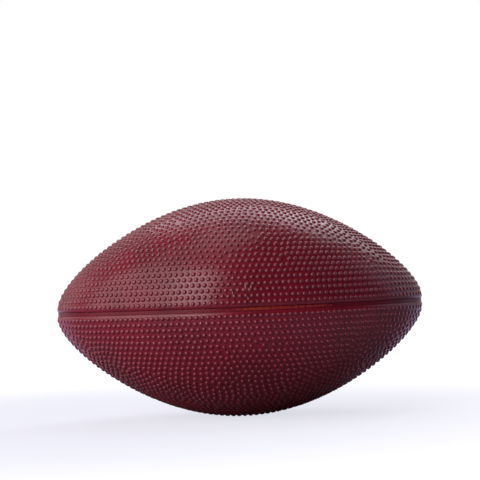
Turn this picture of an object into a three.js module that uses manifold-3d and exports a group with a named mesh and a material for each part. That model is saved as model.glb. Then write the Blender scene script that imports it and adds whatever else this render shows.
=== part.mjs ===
// A pebbled foam ball in the pointed football shape.
// A foam core carries four skin panels, and a smooth strip lies sunk in each of the four joints
// between them. Millimetres. X runs from tip to tip, Z is up, -Y is the front, and the origin is
// the middle of the ball. Depths are measured from the height of the pebbles' crests. The real
// pebbles stand 2.7 mm apart, and one broad pebble here stands for each patch of about eight.

import * as THREE from 'three';
import { mergeVertices } from 'three/addons/utils/BufferGeometryUtils.js';
import Module from 'manifold-3d';

const wasm = await Module();
wasm.setup();

// Driving sizes
const ballLength = 169.4; // over the pointed ends of the panels
const ballDiameter = 101.4; // round the belt, over the pebbles
const drawIn = 0.31; // share by which the ellipse is drawn in where it reaches the tips
const skinThickness = 3; // from a panel's inner face to the pebbles' crests
const pebbleHeight = 0.8; // from the ground between the pebbles to their crests
const pebblePitch = 7.6; // from crest to crest, along the ball and round its belt
const leastPitch = 3; // near the tips, where the rows draw together and then stop
const channelWidth = 2; // at its floor, between the walls of neighbouring panels
const channelMouth = 6; // where its sloped sides open at the ground between the pebbles
const channelDepth = 1.6; // from the pebbles' crests down to the face of a strip
const flangeWidth = 10; // the foot of a strip, which lies under the edges of two panels
const flangeThickness = 1.2;
const seatGap = 0.3; // between pieces that are bonded face to face

// Fineness of the curved faces
const stepsAlong = 28;
const stepsRound = 32;
const channelSteps = 48;

// Sizes that follow from the driving ones
const beltRadius = ballDiameter / 2;
const panelEdge = channelWidth / 2;
const tipSlope = beltRadius * (1 - drawIn);
const panelEndRadius = (channelMouth / 2) * Math.SQRT2;
const halfLength = (ballLength / 2 + pebbleHeight) / Math.sqrt(1 - (panelEndRadius / tipSlope) ** 2);
const coreDepth = skinThickness + seatGap;
const flangeFloor = coreDepth + flangeThickness;
const grooveFloor = flangeFloor + seatGap;
const webEdge = panelEdge - seatGap;
const flangeEdge = flangeWidth / 2;
const grooveEdge = flangeEdge + seatGap;
const overrun = (2 * channelMouth) / tipSlope; // how far a channel turns round the tips, in radians
const beyond = ballLength; // reaches past the ball on every side
const gridAlong = 2 * oddNear(outlineLength() / pebblePitch); // two steps to a pebble
const gridRound = 4 * oddNear((Math.PI * beltRadius) / pebblePitch);

const skinRed = new THREE.Color(0x6e1a26);
const stripRed = new THREE.Color(0x641420);
const foamCream = new THREE.Color(0xd9c48f);

// The ball's outline is an ellipse whose height is drawn in towards both tips:
// height = belt radius * sin(a) * (1 - draw-in * cos(a)^2), at x = half length * cos(a).
// The point is then moved inwards, square to the outline, by the depth asked for.
function outlinePoint(a, depth) {
  const along = Math.cos(a);
  const up = Math.sin(a);
  const x = halfLength * along;
  const height = beltRadius * up * (1 - drawIn * along ** 2);
  const slopeX = -halfLength * up;
  const slopeHeight = beltRadius * along * (1 - drawIn * along ** 2 + 2 * drawIn * up ** 2);
  const steep = Math.hypot(slopeX, slopeHeight);
  return new THREE.Vector2(height + (depth * slopeX) / steep, x - (depth * slopeHeight) / steep);
}

// The odd number nearest to a value, so that a row runs along the middle.
function oddNear(value) {
  return 2 * Math.round((value - 1) / 2) + 1;
}

// The length of the outline from tip to tip.
function outlineLength() {
  const points = Array.from({ length: 101 }, (_, i) => outlinePoint((Math.PI * i) / 100, 0));
  return points.slice(1).reduce((sum, point, i) => sum + point.distanceTo(points[i]), 0);
}

// A closed geometry as a solid: shared corners are merged and the slivers at the poles dropped.
function solidOf(geometry) {
  const bare = geometry.index ? geometry.toNonIndexed() : geometry.clone();
  bare.deleteAttribute('normal');
  bare.deleteAttribute('uv');
  const merged = mergeVertices(bare);
  const corners = merged.index.array;
  const kept = [];
  for (let i = 0; i < corners.length; i += 3) {
    const [a, b, c] = [corners[i], corners[i + 1], corners[i + 2]];
    if (a !== b && b !== c && c !== a) kept.push(a, b, c);
  }
  return new wasm.Manifold(new wasm.Mesh({
    numProp: 3,
    vertProperties: Float32Array.from(merged.attributes.position.array),
    triVerts: Uint32Array.from(kept),
  }));
}

// The outline from the left tip to the right one, moved inwards by a depth.
function outlineAt(depth, steps) {
  const outline = [];
  for (let i = 0; i <= steps; i += 1) {
    const point = outlinePoint(Math.PI * (1 - i / steps), depth);
    if (i === 0 || i === steps) point.x = 0;
    outline.push(point);
  }
  return outline;
}

// The whole ball, with its face moved inwards by a depth, spun about X.
function ballAt(depth) {
  const spun = new THREE.LatheGeometry(outlineAt(depth, stepsAlong), stepsRound);
  spun.rotateZ(-Math.PI / 2);
  return solidOf(spun);
}

// The whole ball with its pebbles. It is spun about X as a grid with two steps to a pebble, and
// every second point along and round is lifted from the ground to the crests. Each seam runs
// midway between two lines of the grid, and the cells' diagonals leave flat ground round a pebble.
function pebbledBall() {
  const ground = outlineAt(pebbleHeight, gridAlong);
  const crests = outlineAt(0, gridAlong);
  const spun = new THREE.LatheGeometry(ground, gridRound, Math.PI / gridRound);
  const places = spun.attributes.position;
  const number = (round, along) => round * (gridAlong + 1) + along;
  const isCrest = (round, along) => {
    const pitchRound = (4 * Math.PI * ground[along].x) / gridRound;
    return along % 2 === 1 && (round % (gridRound / 4)) % 2 === 1 && pitchRound > leastPitch;
  };
  const corners = [];
  for (let round = 0; round <= gridRound; round += 1) {
    const turn = ((2 * round + 1) * Math.PI) / gridRound;
    for (let along = 0; along <= gridAlong; along += 1) {
      const { x, y } = crests[along];
      const raised = isCrest(round, along);
      if (raised) places.setXYZ(number(round, along), x * Math.sin(turn), y, x * Math.cos(turn));
      if (round === gridRound || along === gridAlong) continue;
      const [a, b] = [number(round, along), number(round + 1, along)];
      const [c, d] = [b + 1, a + 1];
      if (raised || isCrest(round + 1, along + 1)) corners.push(a, b, d, c, d, b);
      else corners.push(a, b, c, a, c, d);
    }
  }
  spun.setIndex(corners);
  spun.rotateZ(-Math.PI / 2);
  return solidOf(spun);
}

// A shell between two depths.
function shell(outerDepth, innerDepth) {
  return ballAt(outerDepth).subtract(ballAt(innerDepth));
}

// A box that runs right through the ball along X, from low to high along Y and Z.
function block(lowY, highY, lowZ, highZ) {
  const box = new THREE.BoxGeometry(2 * beyond, highY - lowY, highZ - lowZ);
  box.translate(0, (lowY + highY) / 2, (lowZ + highZ) / 2);
  return solidOf(box);
}

// The front seam's line over the pebbles' crests, from round one tip to round the other.
class SeamLine extends THREE.Curve {
  getPoint(t, target = new THREE.Vector3()) {
    const point = outlinePoint(THREE.MathUtils.lerp(-overrun, Math.PI + overrun, t), 0);
    return target.set(point.y, -point.x, 0);
  }
}

// The wedge that slopes a channel's sides: it has the channel's width at the strip's face, opens
// to the mouth at the ground, and keeps its slope beyond both. A quarter turn about X takes it
// from the front seam to the next one.
function channelWedge(quarters) {
  const lean = (channelMouth - channelWidth) / 2 / (channelDepth - pebbleHeight);
  const under = panelEdge / lean / 2;
  const narrow = panelEdge - lean * under;
  const wide = panelEdge + lean * (channelDepth + pebbleHeight);
  const section = new THREE.Shape([
    new THREE.Vector2(-narrow, -channelDepth - under),
    new THREE.Vector2(narrow, -channelDepth - under),
    new THREE.Vector2(wide, pebbleHeight),
    new THREE.Vector2(-wide, pebbleHeight),
  ]);
  const wedge = new THREE.ExtrudeGeometry(section, {
    steps: channelSteps,
    extrudePath: new SeamLine(),
  });
  wedge.rotateX((quarters * Math.PI) / 2);
  return solidOf(wedge);
}

// One quarter of the skin: side is -1 for the front and 1 for the rear, height -1 or 1.
function panel(side, height) {
  const near = [panelEdge, beyond];
  const across = near.map((v) => v * side).sort((p, q) => p - q);
  const upright = near.map((v) => v * height).sort((p, q) => p - q);
  const skin = pebbledBall().subtract(ballAt(skinThickness));
  const quarter = skin.intersect(block(...across, ...upright));
  const sideSeam = channelWedge(side < 0 ? 0 : 2);
  const poleSeam = channelWedge(height < 0 ? 1 : 3);
  return quarter.subtract(sideSeam).subtract(poleSeam);
}

// The strip in a side joint: a web between the panels and a wider foot sunk in the core.
// Front and rear strips meet at the tips, half a gap from the middle plane each.
function sideStrip(side) {
  const reach = [seatGap / 2, beyond].map((v) => v * side).sort((p, q) => p - q);
  const web = shell(channelDepth, flangeFloor).intersect(block(...reach, -webEdge, webEdge));
  const foot = shell(coreDepth, flangeFloor).intersect(block(...reach, -flangeEdge, flangeEdge));
  return web.add(foot);
}

// The strip in the top or bottom joint. Its foot ends beside the feet of the side strips,
// and its web runs on over them to the tips, where it ends beside their webs.
function poleStrip(height) {
  const span = (from) => [from, beyond].map((v) => v * height).sort((p, q) => p - q);
  const foot = shell(coreDepth, flangeFloor)
    .intersect(block(-flangeEdge, flangeEdge, ...span(grooveEdge)));
  const web = shell(channelDepth, flangeFloor)
    .intersect(block(-webEdge, webEdge, ...span(grooveEdge)));
  const webEnds = shell(channelDepth, skinThickness)
    .intersect(block(-webEdge, webEdge, ...span(panelEdge)));
  return foot.add(web).add(webEnds);
}

// The foam core, with a shallow groove under each joint for the feet of the strips.
function core() {
  const rim = shell(0, grooveFloor);
  const sideGroove = rim.intersect(block(-beyond, beyond, -grooveEdge, grooveEdge));
  const poleGroove = rim.intersect(block(-grooveEdge, grooveEdge, -beyond, beyond));
  return ballAt(coreDepth).subtract(sideGroove).subtract(poleGroove);
}

// A solid as a named mesh with a finish of its own.
function piece(name, solid, color, roughness) {
  const { vertProperties, triVerts } = solid.getMesh();
  const geometry = new THREE.BufferGeometry();
  geometry.setAttribute('position', new THREE.BufferAttribute(vertProperties, 3));
  geometry.setIndex(new THREE.BufferAttribute(triVerts, 1));
  geometry.computeVertexNormals();
  const finish = new THREE.MeshStandardMaterial({ color, roughness, metalness: 0 });
  const mesh = new THREE.Mesh(geometry, finish);
  mesh.name = name;
  return mesh;
}

const ball = new THREE.Group();
ball.add(piece('foam_core', core(), foamCream, 0.95));
ball.add(piece('upper_front_panel', panel(-1, 1), skinRed, 0.42));
ball.add(piece('upper_rear_panel', panel(1, 1), skinRed, 0.42));
ball.add(piece('lower_front_panel', panel(-1, -1), skinRed, 0.42));
ball.add(piece('lower_rear_panel', panel(1, -1), skinRed, 0.42));
ball.add(piece('front_seam_strip', sideStrip(-1), stripRed, 0.3));
ball.add(piece('rear_seam_strip', sideStrip(1), stripRed, 0.3));
ball.add(piece('top_seam_strip', poleStrip(1), stripRed, 0.3));
ball.add(piece('bottom_seam_strip', poleStrip(-1), stripRed, 0.3));

export default ball;
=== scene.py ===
"""Looks of a pebbled foam ball in the pointed football shape.

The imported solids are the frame: a foam core, four skin panels and four seam strips. Here each
panel gets its moulded pebbles, each strip its glossy face, and the core its grooves. Sizes are
in millimetres until a mesh is made. X runs from tip to tip, Z is up and -Y is the front.
"""

import logging
import math
from dataclasses import dataclass
from enum import Enum

import bpy
import numpy as np
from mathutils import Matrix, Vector
from mathutils.geometry import delaunay_2d_cdt


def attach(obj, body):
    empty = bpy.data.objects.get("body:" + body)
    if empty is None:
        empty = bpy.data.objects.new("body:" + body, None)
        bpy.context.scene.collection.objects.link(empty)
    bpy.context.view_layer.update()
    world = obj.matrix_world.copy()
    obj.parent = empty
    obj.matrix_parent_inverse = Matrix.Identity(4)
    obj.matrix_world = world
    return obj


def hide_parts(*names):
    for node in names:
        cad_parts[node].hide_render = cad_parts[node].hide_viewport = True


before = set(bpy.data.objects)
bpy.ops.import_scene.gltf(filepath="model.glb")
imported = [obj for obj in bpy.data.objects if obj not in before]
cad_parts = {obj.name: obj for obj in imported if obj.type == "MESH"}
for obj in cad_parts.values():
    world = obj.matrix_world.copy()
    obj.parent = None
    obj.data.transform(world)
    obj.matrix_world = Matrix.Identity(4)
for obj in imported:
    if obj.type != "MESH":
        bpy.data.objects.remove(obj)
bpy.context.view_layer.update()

MM = 0.001
FULL_TURN = 2 * math.pi
QUARTER_TURN = math.pi / 2
EIGHTH_TURN = math.pi / 4
BODY = "root"

Colour = tuple[float, float, float]
Numbers = np.ndarray | float
MeshParts = tuple[np.ndarray, list[np.ndarray]]
Socket = bpy.types.NodeSocket

WHITE: Colour = (1.0, 1.0, 1.0)

log = logging.getLogger("foam_ball")


class Seam(Enum):
    """The four seams, each by its angle about X, measured from the front over the top."""

    FRONT = 0
    TOP = 1
    REAR = 2
    BOTTOM = 3

    @property
    def angle(self) -> float:
        """The seam's angle about X, in radians."""
        return self.value * QUARTER_TURN


class Slot(Enum):
    """The record's material slots."""

    CORE = "core_foam"
    SKIN = "pebbled_skin"
    STRIP = "seam_strip"


# Placing points


def around(x: np.ndarray, out: np.ndarray, side: Numbers, angle: Numbers) -> np.ndarray:
    """Turns places beside a seam into places in the ball's frame.

    A point is x along the ball, a distance out from X in the plane that stands at the angle, and
    a distance to the side of that plane: y = -out cos + side sin, z = out sin + side cos.

    Args:
        x: Places along the ball.
        out: Distances out from X in the plane.
        side: Distances square to the plane, towards a growing angle.
        angle: The plane's angle about X, from the front over the top.

    Returns:
        The points, with a last axis of three.
    """
    cos, sin = np.cos(angle), np.sin(angle)
    places = np.broadcast_arrays(x, -out * cos + side * sin, out * sin + side * cos)
    return np.stack(places, axis=-1)


def gaps_between(place: np.ndarray) -> np.ndarray:
    """Every point's distance to each other point, and infinity to itself."""
    apart = np.linalg.norm(place[:, None] - place[None], axis=2)
    np.fill_diagonal(apart, np.inf)
    return apart


def ripple(place: np.ndarray, height: float, lengths: tuple[float, ...], seed: int) -> np.ndarray:
    """A gentle waviness: the mean of sine waves of the given lengths, each with its own phase.

    Args:
        place: Where along the piece.
        height: The waves' height.
        lengths: Their lengths.
        seed: Fixes the phases.

    Returns:
        The waviness at each place.
    """
    phases = np.random.default_rng(seed).uniform(0, FULL_TURN, len(lengths))
    waves = [np.sin(FULL_TURN * place / length + phase) for length, phase in zip(lengths, phases)]
    return height * np.mean(waves, axis=0)


def swelling(share: np.ndarray, blunt: float) -> np.ndarray:
    """How a tube swells towards its middle: the root of sin(pi share), kept off nought by blunt."""
    return np.sqrt(np.sin(math.pi * np.clip(share, blunt, 1 - blunt)))


@dataclass(frozen=True)
class BallForm:
    """The ball's outline, as the frame's solids have it: its crests stand at depth nought."""

    half_length: float = 85.45
    belt_radius: float = 50.6
    draw_in: float = 0.31
    fine_steps: int = 6001

    def outline(self, turn: np.ndarray, depth: Numbers) -> tuple[np.ndarray, np.ndarray]:
        """Gives points of the outline at a depth.

        The outline is an ellipse that is drawn in towards both tips: its radius is the belt
        radius times sin(turn) times (1 - draw-in times cos(turn) squared), at half length times
        cos(turn). The point is then moved inwards, square to the outline, by the depth.

        Args:
            turn: Angles from the right tip, nought, to the left one, pi.
            depth: How far under the crests.

        Returns:
            The places along X and the radii.
        """
        along, up = np.cos(turn), np.sin(turn)
        waist = 1 - self.draw_in * along**2
        slope_x = -self.half_length * up
        slope_radius = self.belt_radius * along * (waist + 2 * self.draw_in * up**2)
        steep = np.hypot(slope_x, slope_radius)
        x = self.half_length * along - depth * slope_radius / steep
        return x, self.belt_radius * up * waist + depth * slope_x / steep

    def rail(self, offset: float, depth: float, end: float, count: int) -> tuple[np.ndarray, np.ndarray]:
        """Gives a line that follows a seam from the left tip to the right one.

        The line lies on the surface at the depth and keeps its offset to the seam's middle
        plane, so its distance out is the root of (radius squared - offset squared).

        Args:
            offset: Distance to the seam's middle plane.
            depth: How far under the crests.
            end: The distance out from X at which the line stops at both tips.
            count: Number of points.

        Returns:
            The places along X and the distances out from X in the seam's plane.
        """
        turns = np.linspace(0, QUARTER_TURN, self.fine_steps)
        last = float(np.interp(math.hypot(offset, end), self.outline(turns, depth)[1], turns))
        x, radius = self.outline(np.linspace(math.pi - last, last, count), depth)
        return x, np.sqrt(np.maximum(radius**2 - offset**2, end**2))


class GroundChart:
    """A map of the ground between the pebbles: u along the outline from the belt, and angle."""

    def __init__(self, form: BallForm, depth: float) -> None:
        """Measures the outline's length at the ground's depth.

        Args:
            form: The ball's outline.
            depth: The ground's depth under the crests.
        """
        self.form = form
        self.depth = depth
        self.turns = np.linspace(math.pi, 0, form.fine_steps)
        self.x, radius = form.outline(self.turns, depth)
        arc = np.concatenate([[0.0], np.cumsum(np.hypot(np.diff(self.x), np.diff(radius)))])
        self.arc = arc - arc[-1] / 2

    def turn(self, u: np.ndarray) -> np.ndarray:
        """The outline's angle at a place along it."""
        return np.interp(u, self.arc, self.turns)

    def radius(self, u: np.ndarray) -> np.ndarray:
        """The ground's radius at a place along it."""
        return self.form.outline(self.turn(u), self.depth)[1]

    def lift(self, u: np.ndarray, angle: np.ndarray, height: Numbers = 0.0) -> np.ndarray:
        """The points at places along the outline and angles about X, raised square to the ground."""
        x, radius = self.form.outline(self.turn(u), self.depth - height)
        return around(x, radius, 0.0, angle)

    def axes(self, u: np.ndarray, angle: np.ndarray) -> tuple[np.ndarray, np.ndarray]:
        """Gives the two directions in which u and the angle grow.

        Args:
            u: Places along the outline.
            angle: Angles about X.

        Returns:
            Unit vectors along the outline and round the ball.
        """
        step = 0.01
        ahead = self.lift(u + step, angle) - self.lift(u - step, angle)
        ahead /= np.linalg.norm(ahead, axis=-1, keepdims=True)
        return ahead, np.stack([np.zeros_like(angle), np.sin(angle), np.cos(angle)], axis=-1)


# Making meshes


def wrapped(index: np.ndarray) -> np.ndarray:
    """A grid of vertex numbers with its first column once more at its end."""
    return np.concatenate([index, index[:, :1]], axis=1)


def quads_of(index: np.ndarray, flip: bool = False) -> list[np.ndarray]:
    """Joins a grid of vertex numbers into faces.

    Each cell becomes a quad, and a cell with two corners in one becomes a triangle.

    Args:
        index: Vertex numbers, rows by columns.
        flip: Turns the faces round.

    Returns:
        An array of quads and an array of triangles.
    """
    corners = [index[:-1, :-1], index[:-1, 1:], index[1:, 1:], index[1:, :-1]]
    cells = np.stack(corners, axis=-1).reshape(-1, 4)
    if flip:
        cells = cells[:, ::-1]
    same = cells == np.roll(cells, -1, axis=1)
    pinched = same.sum(axis=1) == 1
    return [cells[~same.any(axis=1)], cells[pinched][~same[pinched]].reshape(-1, 3)]


def tube_faces(steps: int, sides: int, flip: bool = False) -> list[np.ndarray]:
    """Joins the rings of a tube into faces, with one face across each end.

    Args:
        steps: How many rings.
        sides: Points in a ring.
        flip: Turns the faces round.

    Returns:
        Arrays of faces.
    """
    index = np.arange(steps * sides).reshape(steps, sides)
    ends = [index[:1], index[-1:, ::-1]] if flip else [index[:1, ::-1], index[-1:]]
    return [*quads_of(wrapped(index), flip), *ends]


def join_parts(parts: list[MeshParts]) -> MeshParts:
    """Puts several meshes into one.

    Args:
        parts: The points and faces of each.

    Returns:
        All the points, and all the faces with their vertices numbered on.
    """
    faces, used = [], 0
    for part_points, part_faces in parts:
        faces += [part + used for part in part_faces]
        used += len(part_points)
    return np.concatenate([part[0] for part in parts]), faces


def put_in_scene(name: str, data: bpy.types.ID) -> bpy.types.Object:
    """Makes an object of a mesh, a lamp or a camera and links it to the scene."""
    item = bpy.data.objects.new(name, data)
    bpy.context.scene.collection.objects.link(item)
    return item


def make_piece(name: str, points: np.ndarray, faces: list[np.ndarray]) -> bpy.types.Object:
    """Makes a smooth mesh piece.

    Args:
        name: The piece's name.
        points: Its vertices in millimetres.
        faces: Arrays of faces, each array with one number of corners.

    Returns:
        The piece, linked to the scene.
    """
    faces = [part for part in faces if len(part)]
    totals = np.concatenate([np.full(len(part), part.shape[1]) for part in faces])
    corners = np.concatenate([part.ravel() for part in faces])
    mesh = bpy.data.meshes.new(name)
    mesh.vertices.add(len(points))
    mesh.vertices.foreach_set("co", (points * MM).astype(np.float32).ravel())
    mesh.loops.add(len(corners))
    mesh.loops.foreach_set("vertex_index", corners.astype(np.int32))
    mesh.polygons.add(len(totals))
    mesh.polygons.foreach_set("loop_start", (np.cumsum(totals) - totals).astype(np.int32))
    mesh.polygons.foreach_set("use_smooth", np.ones(len(totals), dtype=bool))
    mesh.update(calc_edges=True)
    mesh.validate()
    return put_in_scene(name, mesh)


def paint_crests(piece: bpy.types.Object, proud: np.ndarray) -> None:
    """Stores how proud each vertex stands, 0 to 1: the crest for polish, rubbed wear and painted highlight.
    """
    crest = piece.data.attributes.new("crest", "FLOAT", "POINT")
    crest.data.foreach_set("value", proud.astype(np.float32))


def declare(piece: bpy.types.Object, finish: bpy.types.Material, slot: Slot, *nodes: str) -> None:
    """Dresses a piece, hangs it on the body and hides the frame's nodes that it stands for.

    Args:
        piece: The finished piece.
        finish: Its material.
        slot: The record's slot; not used.
        nodes: The frame's nodes that it stands for.
    """
    piece.data.materials.append(finish)
    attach(piece, BODY)
    if nodes:
        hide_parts(*nodes)
    log.info("%s: %d vertices, %d faces", piece.name, len(piece.data.vertices), len(piece.data.polygons))


# Laying node trees


class Board:
    """A node tree that is being laid out."""

    def __init__(self, tree: bpy.types.NodeTree) -> None:
        """Takes the tree and clears it."""
        self.tree = tree
        tree.nodes.clear()

    def add(self, kind: str, inputs: dict | None = None, **settings: object) -> bpy.types.Node:
        """Adds a node.

        Args:
            kind: The node's type.
            inputs: A value or a socket for each input, by its name or number.
            settings: The node's own settings.

        Returns:
            The node.
        """
        node = self.tree.nodes.new(kind)
        for key, value in settings.items():
            setattr(node, key, value)
        for key, value in (inputs or {}).items():
            if isinstance(value, Socket):
                self.tree.links.new(value, node.inputs[key])
            else:
                node.inputs[key].default_value = value
        return node

    def math(self, operation: str, first: object, second: object, clamp: bool = False) -> Socket:
        """Adds a calculation with two numbers or sockets and gives its result."""
        inputs = {0: first, 1: second}
        return self.add("ShaderNodeMath", inputs, operation=operation, use_clamp=clamp).outputs[0]

    def times(self, first: object, second: object) -> Socket:
        """Adds a product of two numbers or sockets and gives its result."""
        return self.math("MULTIPLY", first, second)

    def plus(self, first: object, second: object) -> Socket:
        """Adds a sum of two numbers or sockets and gives its result."""
        return self.math("ADD", first, second)

    def vector_math(self, operation: str, *vectors: object) -> bpy.types.Node:
        """Adds a calculation with vectors and gives the node."""
        return self.add("ShaderNodeVectorMath", dict(enumerate(vectors)), operation=operation)

    def ramp(self, value: object, low: float, high: float, start: float = 0.0, end: float = 1.0) -> Socket:
        """Adds a clamped smooth ramp from start at low to end at high and gives its result."""
        limits = {"Value": value, "From Min": low, "From Max": high, "To Min": start, "To Max": end}
        return self.add("ShaderNodeMapRange", limits, interpolation_type="SMOOTHSTEP").outputs["Result"]

    def blend(self, share: object, first: object, second: object) -> Socket:
        """Adds a mix of two colours and gives its result."""
        return self.add("ShaderNodeMix", {0: share, 6: first, 7: second}, data_type="RGBA").outputs[2]

    def noise(self, vector: object, scale: object, detail: float = 2.0, roughness: float = 0.5) -> Socket:
        """Adds a noise and gives its value."""
        values = {"Vector": vector, "Scale": scale, "Detail": detail, "Roughness": roughness}
        return self.add("ShaderNodeTexNoise", values).outputs[0]

    def cells(self, vector: object, scale: object) -> Socket:
        """Adds a pattern of cells and gives the distance from their middles."""
        return self.add("ShaderNodeTexVoronoi", {"Vector": vector, "Scale": scale}).outputs["Distance"]

    def bump(self, strength: float, distance: float, height: object) -> Socket:
        """Adds a bump, with its distance in metres, and gives its normal."""
        values = {"Strength": strength, "Distance": distance, "Height": height}
        return self.add("ShaderNodeBump", values).outputs["Normal"]

    def place(self) -> Socket:
        """Adds Object coordinates and gives them."""
        return self.add("ShaderNodeTexCoord").outputs["Object"]

    def emission(self, colour: object, strength: object) -> Socket:
        """Adds a glow and gives its shader."""
        return self.add("ShaderNodeEmission", {"Color": colour, "Strength": strength}).outputs[0]

    def sum_of(self, first: Socket, second: Socket) -> Socket:
        """Adds two shaders up and gives their sum."""
        return self.add("ShaderNodeAddShader", {0: first, 1: second}).outputs[0]

    def finish(self, shader: Socket) -> None:
        """Ends a material with its shader."""
        self.add("ShaderNodeOutputMaterial", {"Surface": shader})

    def finish_with(self, inputs: dict) -> None:
        """Ends a material with a Principled shader that has the given inputs."""
        self.finish(self.add("ShaderNodeBsdfPrincipled", inputs).outputs["BSDF"])


def rgba(colour: Colour) -> tuple[float, float, float, float]:
    """A colour with full cover."""
    return (*colour, 1.0)


def new_material(name: str) -> tuple[bpy.types.Material, Board]:
    """Starts a material: the material and the board of its node tree."""
    material = bpy.data.materials.new(name)
    material.use_nodes = True
    return material, Board(material.node_tree)


NUMBER = "NodeSocketFloat"
COLOUR = "NodeSocketColor"
VECTOR = "NodeSocketVector"


def new_group(name: str, inputs: dict[str, str], outputs: dict[str, str]) -> tuple[bpy.types.NodeTree, Board]:
    """Starts a shader node group with named sockets.

    Args:
        name: The group's name.
        inputs: Each input's socket type.
        outputs: Each output's socket type.

    Returns:
        The group and its empty board.
    """
    tree = bpy.data.node_groups.new(name, "ShaderNodeTree")
    for direction, sockets in (("INPUT", inputs), ("OUTPUT", outputs)):
        for label, kind in sockets.items():
            tree.interface.new_socket(name=label, in_out=direction, socket_type=kind)
    return tree, Board(tree)


# A noise is its scale, detail and roughness, and its limits are where a ramp on it starts and ends.
CLOUDS, CLOUD_LIMITS = (38.0, 4.0, 0.55), (0.38, 0.66)
PATCHES, PATCH_LIMITS = (95.0, 3.0, 0.6), (0.45, 0.7)
SPECKS = (1400.0, 2.0, 0.6)
BROAD_GRAIN = 320.0
PIT_LIMITS = (0.0, 0.35)


def mottling_group() -> bpy.types.NodeTree:
    """Builds the uneven colour that all the moulded pieces share.

    Broad clouds darken the colour and raise the roughness, specks shift the roughness, and what
    stands proud is painted lighter in patches: partly rubbed wear, partly a painted highlight.

    Returns:
        The group.
    """
    inputs = {"Vector": VECTOR, "Colour": COLOUR, "Shade": COLOUR, "Rubbed": COLOUR}
    inputs |= {label: NUMBER for label in ("Proud", "Rub", "Roughness", "Spread")}
    tree, board = new_group("uneven_finish", inputs, {"Colour": COLOUR, "Roughness": NUMBER})
    given = board.add("NodeGroupInput").outputs
    clouds = board.ramp(board.noise(given["Vector"], *CLOUDS), *CLOUD_LIMITS)
    patches = board.ramp(board.noise(given["Vector"], *PATCHES), *PATCH_LIMITS)
    specks = board.noise(given["Vector"], *SPECKS)
    shaded = board.blend(clouds, given["Colour"], given["Shade"])
    # What stands proud is painted lighter in patches: partly rubbed wear, partly a painted highlight.
    rubbed_highlight_mask = board.times(board.times(given["Proud"], patches), given["Rub"])
    colour = board.blend(rubbed_highlight_mask, shaded, given["Rubbed"])
    swing = board.math("SUBTRACT", board.plus(clouds, specks), 1.0)
    roughness = board.math("ADD", given["Roughness"], board.times(swing, given["Spread"]), clamp=True)
    board.add("NodeGroupOutput", {"Colour": colour, "Roughness": roughness})
    return tree


def grain_group() -> bpy.types.NodeTree:
    """Builds the fine grain of a moulded face: a soft unevenness with small pits in it.

    Returns:
        The group.
    """
    inputs = {"Vector": VECTOR, "Fine": NUMBER, "Pits": NUMBER}
    tree, board = new_group("moulded_grain", inputs, {"Height": NUMBER})
    given = board.add("NodeGroupInput").outputs
    soft = board.plus(board.noise(given["Vector"], given["Fine"]), board.noise(given["Vector"], BROAD_GRAIN))
    holes = board.ramp(board.cells(given["Vector"], given["Fine"]), *PIT_LIMITS, -1.0, 0.0)
    board.add("NodeGroupOutput", {"Height": board.plus(soft, board.times(holes, given["Pits"]))})
    return tree


# Finishes


@dataclass(frozen=True)
class MouldedFinish:
    """Satin maroon for skin and strips; proud parts get polish, rubbed wear and a painted highlight."""

    name: str
    colour: Colour
    shade: Colour
    # Colour and share painted on crests: partly rubbed wear, partly a painted highlight.
    rubbed: Colour
    rub: float
    roughness: float
    spread: float
    grain: float
    fine: float = 2600.0
    pits: float = 0.5
    ior: float = 1.5
    coat: float = 0.0
    coat_roughness: float = 0.16
    coat_power: float = 4.0
    bump_distance: float = 0.00003

    def material(self, mottling: bpy.types.NodeTree, grain: bpy.types.NodeTree) -> bpy.types.Material:
        """Builds the material. Its coat is the crest attribute, to the coat's power, times the coat.

        Args:
            mottling: The shared group for uneven colour.
            grain: The shared group for fine grain.

        Returns:
            The material.
        """
        material, board = new_material(self.name)
        place = board.place()
        proud = board.add("ShaderNodeAttribute", attribute_name="crest").outputs["Fac"]
        values = {
            "Vector": place,
            "Proud": proud,
            "Colour": rgba(self.colour),
            "Shade": rgba(self.shade),
            "Rubbed": rgba(self.rubbed),
            "Rub": self.rub,
            "Roughness": self.roughness,
            "Spread": self.spread,
        }
        uneven = board.add("ShaderNodeGroup", values, node_tree=mottling).outputs
        pitted = {"Vector": place, "Fine": self.fine, "Pits": self.pits}
        relief = board.add("ShaderNodeGroup", pitted, node_tree=grain).outputs["Height"]
        inputs = {
            "Base Color": uneven["Colour"],
            "Roughness": uneven["Roughness"],
            "IOR": self.ior,
            "Coat Roughness": self.coat_roughness,
            "Normal": board.bump(self.grain, self.bump_distance, relief),
        }
        if self.coat:
            inputs["Coat Weight"] = board.times(board.math("POWER", proud, self.coat_power), self.coat)
        board.finish_with(inputs)
        return material


@dataclass(frozen=True)
class FoamFinish:
    """The cream foam of the core, with its open cells."""

    name: str = "cell_foam"
    light: Colour = (0.72, 0.57, 0.3)
    # The colour of the cells' hollow middles: painted shade.
    pore_shade: Colour = (0.48, 0.34, 0.15)
    cell: float = 900.0
    wall_limits: tuple[float, float] = (0.1, 0.6)
    clouds: tuple[float, float] = (60.0, 3.0)
    cloud_limits: tuple[float, float] = (0.35, 0.7)
    cloud_shares: tuple[float, float] = (0.75, 1.0)
    roughness: float = 0.9
    bump: tuple[float, float] = (0.6, 0.0003)

    def material(self) -> bpy.types.Material:
        """Builds the material: cells of a Voronoi pattern, deeper in their middles and painted darker there
        as shade.
        """
        material, board = new_material(self.name)
        place = board.place()
        walls = board.ramp(board.cells(place, self.cell), *self.wall_limits)
        clouds = board.ramp(board.noise(place, *self.clouds), *self.cloud_limits, *self.cloud_shares)
        # The hollow cell middles take the darker colour: painted shade.
        colour = board.blend(board.times(walls, clouds), rgba(self.pore_shade), rgba(self.light))
        normal = board.bump(*self.bump, walls)
        board.finish_with({"Base Color": colour, "Roughness": self.roughness, "Normal": normal})
        return material


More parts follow.
